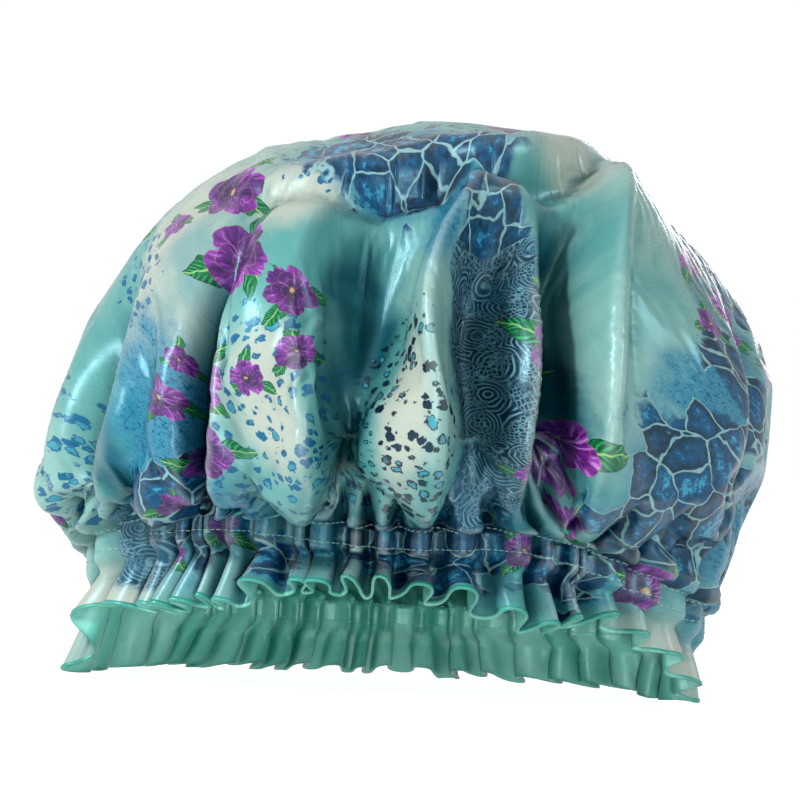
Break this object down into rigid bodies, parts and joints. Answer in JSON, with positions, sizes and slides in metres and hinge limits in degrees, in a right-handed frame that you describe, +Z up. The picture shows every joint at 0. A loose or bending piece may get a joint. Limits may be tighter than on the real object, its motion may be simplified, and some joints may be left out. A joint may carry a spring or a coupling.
{
  "type": "satin hair bonnet",
  "caption": "Puffy double-layer satin sleep bonnet with mint lining, elastic casing and ruffled frill, standing on its hem.",
  "frame": {"origin": "middle of the footprint on the ground, under the crown", "axes": "+Z up through the crown, +X to the wearer's left along the width, front towards -Y"},
  "size_m": [0.2842, 0.2386, 0.2277],
  "materials": {
    "printed_satin": "glossy satin weave printed in aqua, teal, navy and violet",
    "mint_satin": "glossy plain mint satin weave",
    "elastic": "white knitted elastic, matt",
    "thread": "pale aqua sewing thread with a slight sheen",
    "lining_thread": "mint sewing thread with a slight sheen"
  },
  "bodies": {
    "root": {"outer_shell": "printed_satin", "lining": "mint_satin", "elastic_band": "elastic", "elastic_join_stitch": "thread", "casing_stitch_upper": "thread", "casing_stitch_lower": "thread", "casing_bobbin_upper": "lining_thread", "casing_bobbin_lower": "lining_thread"}
  },
  "joints": []
}
